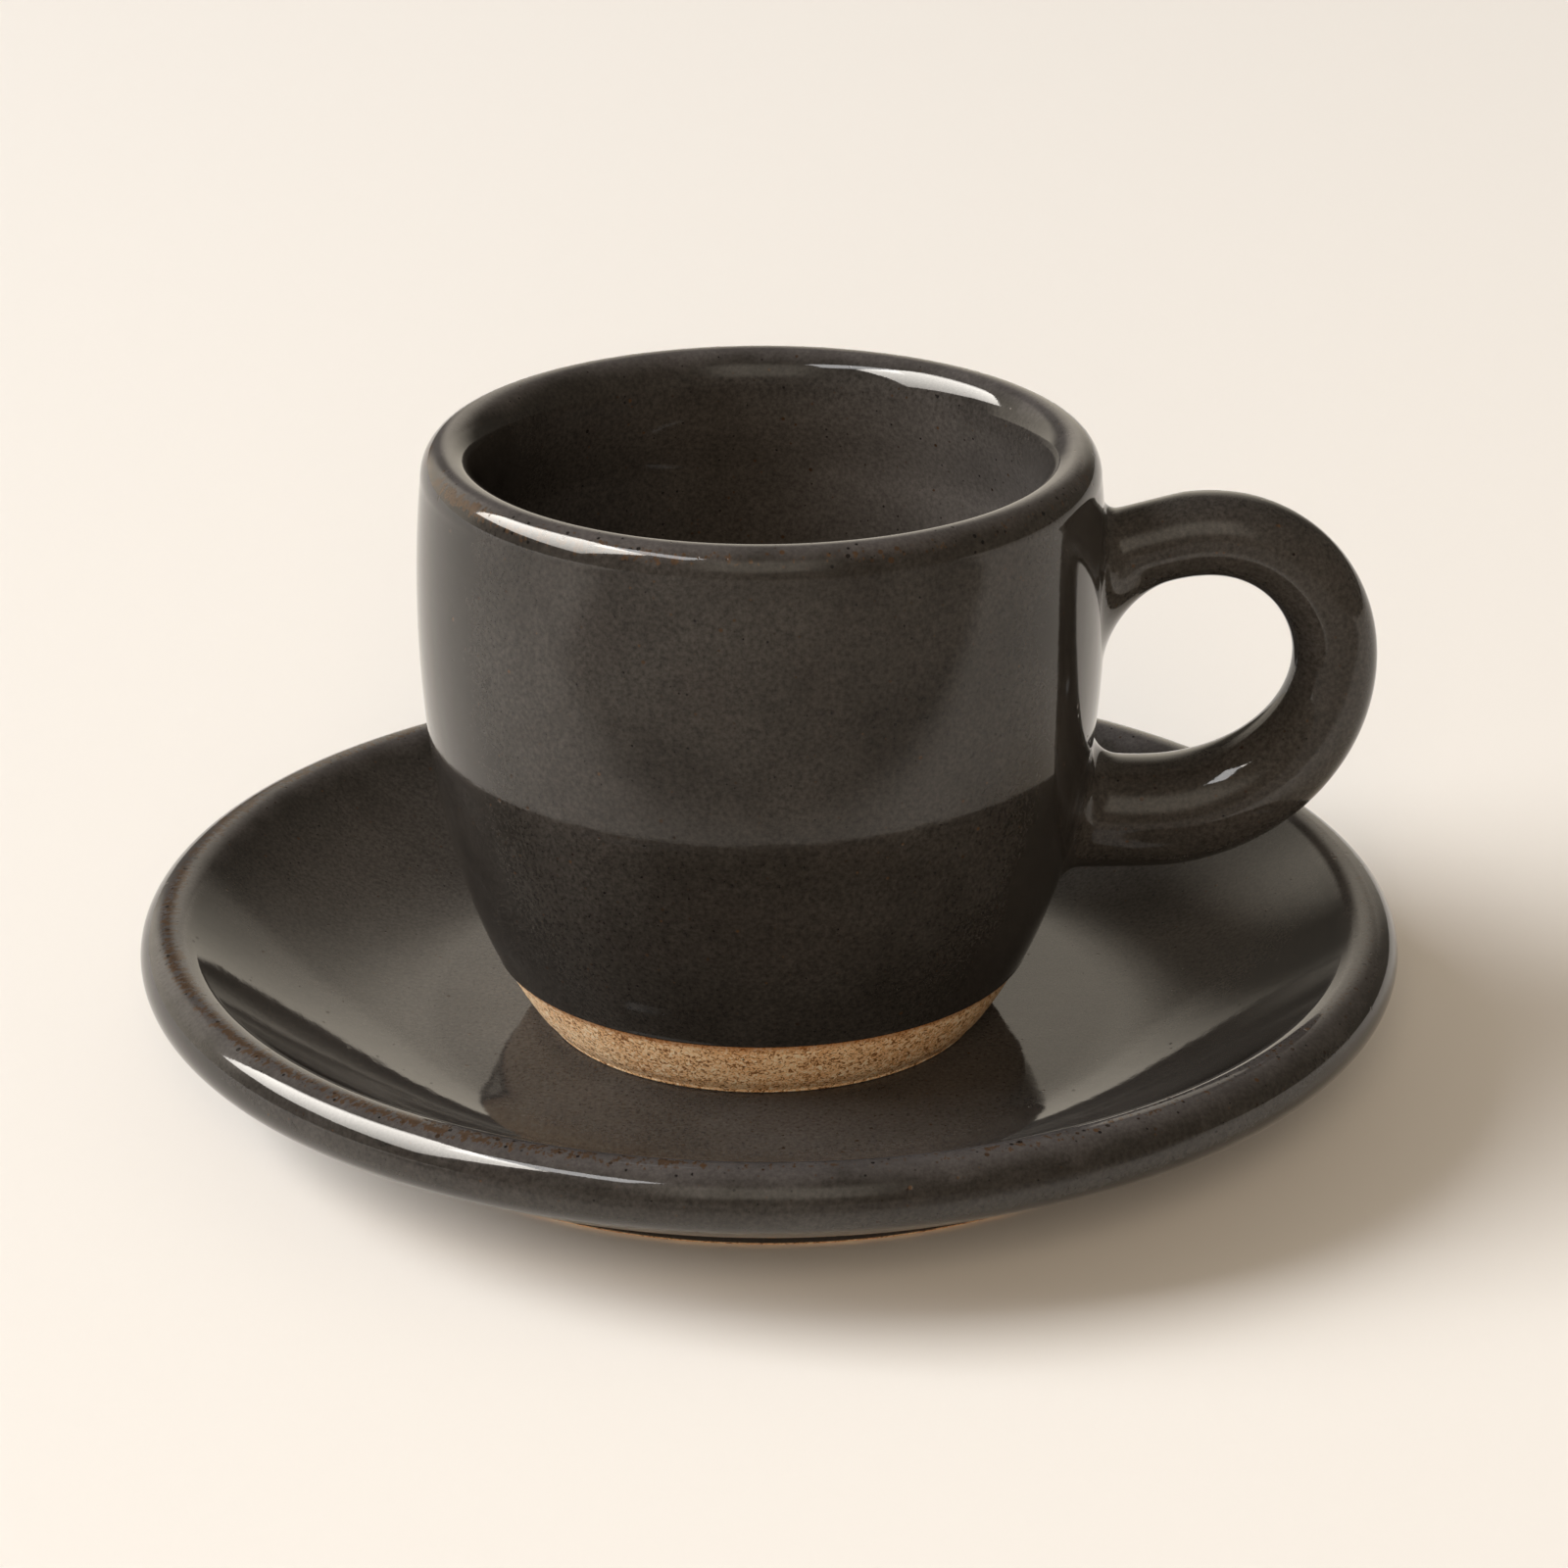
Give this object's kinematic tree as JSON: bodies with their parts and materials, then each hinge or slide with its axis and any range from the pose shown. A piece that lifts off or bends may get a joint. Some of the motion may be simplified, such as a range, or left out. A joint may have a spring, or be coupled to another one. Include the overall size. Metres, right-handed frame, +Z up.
{
  "type": "espresso cup with saucer",
  "caption": "Stoneware espresso cup with a looped handle and a bare clay foot, standing in the flat well of a round glazed saucer.",
  "frame": {"origin": "middle of the saucer's foot ring, on the table", "axes": "+Z up along the saucer's axis, +X towards the cup's handle, +Y away from the viewer in the picture"},
  "size_m": [0.12, 0.12, 0.0617],
  "materials": {
    "saucer_glaze": "glossy charcoal stoneware glaze with fine iron specks, breaking brown at the lip",
    "saucer_clay": "bare fired stoneware, matt",
    "cup_clay": "bare fired groggy stoneware, matt, light flecks and fine pores",
    "cup_glaze": "glossy charcoal stoneware glaze with fine iron specks, breaking brown at the rim",
    "handle_glaze": "glossy charcoal stoneware glaze, pooled where the handle meets the wall"
  },
  "bodies": {
    "saucer": {"saucer_dish": "saucer_glaze", "saucer_foot": "saucer_clay"},
    "cup": {"cup_foot": "cup_clay", "cup_body": "cup_glaze", "cup_handle": "handle_glaze"}
  },
  "joints": [
    {"name": "cup_lift", "type": "slide", "parent": "saucer", "child": "cup", "axis": [0, 0, 1], "range_m": [0, 0.06]}
  ]
}
